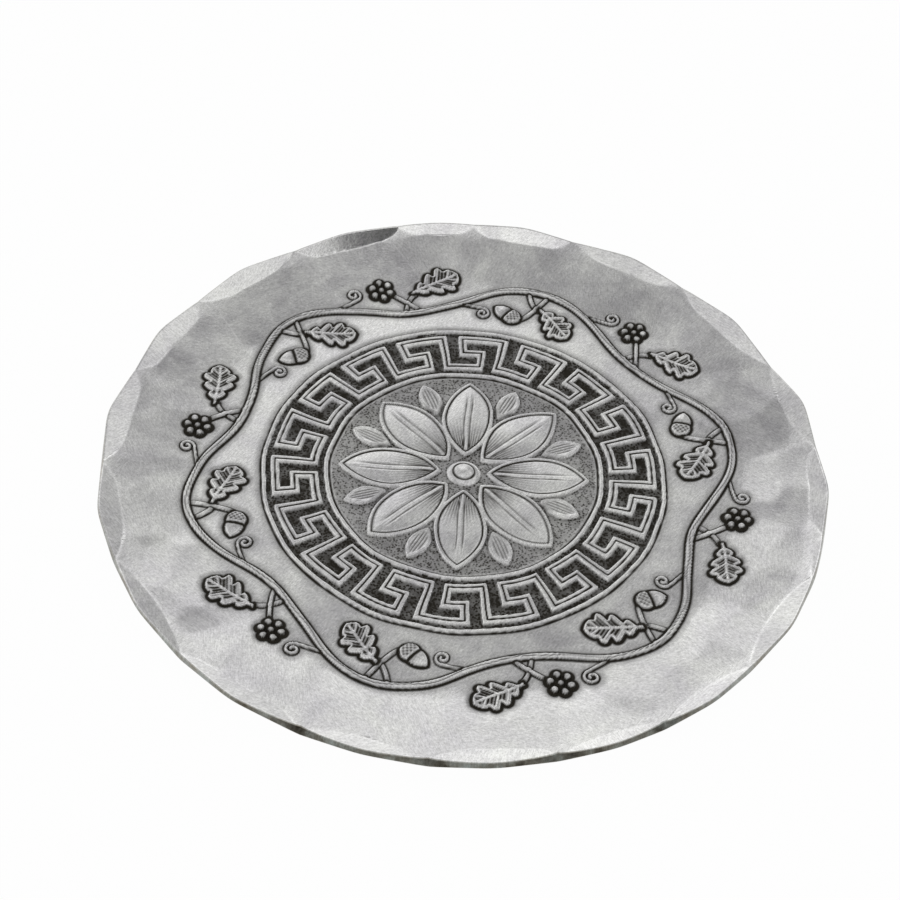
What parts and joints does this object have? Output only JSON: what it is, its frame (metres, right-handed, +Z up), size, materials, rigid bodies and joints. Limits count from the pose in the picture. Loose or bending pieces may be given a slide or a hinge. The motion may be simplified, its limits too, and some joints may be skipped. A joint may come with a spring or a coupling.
{
  "type": "wine bottle coaster",
  "caption": "Shallow hand-hammered aluminium dish with an embossed ornament on its floor and clear bumpers underneath, for a wine bottle to stand on.",
  "frame": {"origin": "on the surface that the coaster stands on, below the middle of the rim's outline", "axes": "+Z up out of the dish, +Y away from the viewer of the picture, +X to the viewer's right"},
  "size_m": [0.1402, 0.1398, 0.0061],
  "materials": {
    "aluminium_sheet": "satin, hammered, with a dark patina left in the recesses",
    "clear_bumper": "clear soft polyurethane"
  },
  "bodies": {
    "root": {"dish": "aluminium_sheet", "foot_front_left": "clear_bumper", "foot_front_right": "clear_bumper", "foot_back_left": "clear_bumper", "foot_back_right": "clear_bumper"}
  },
  "joints": []
}
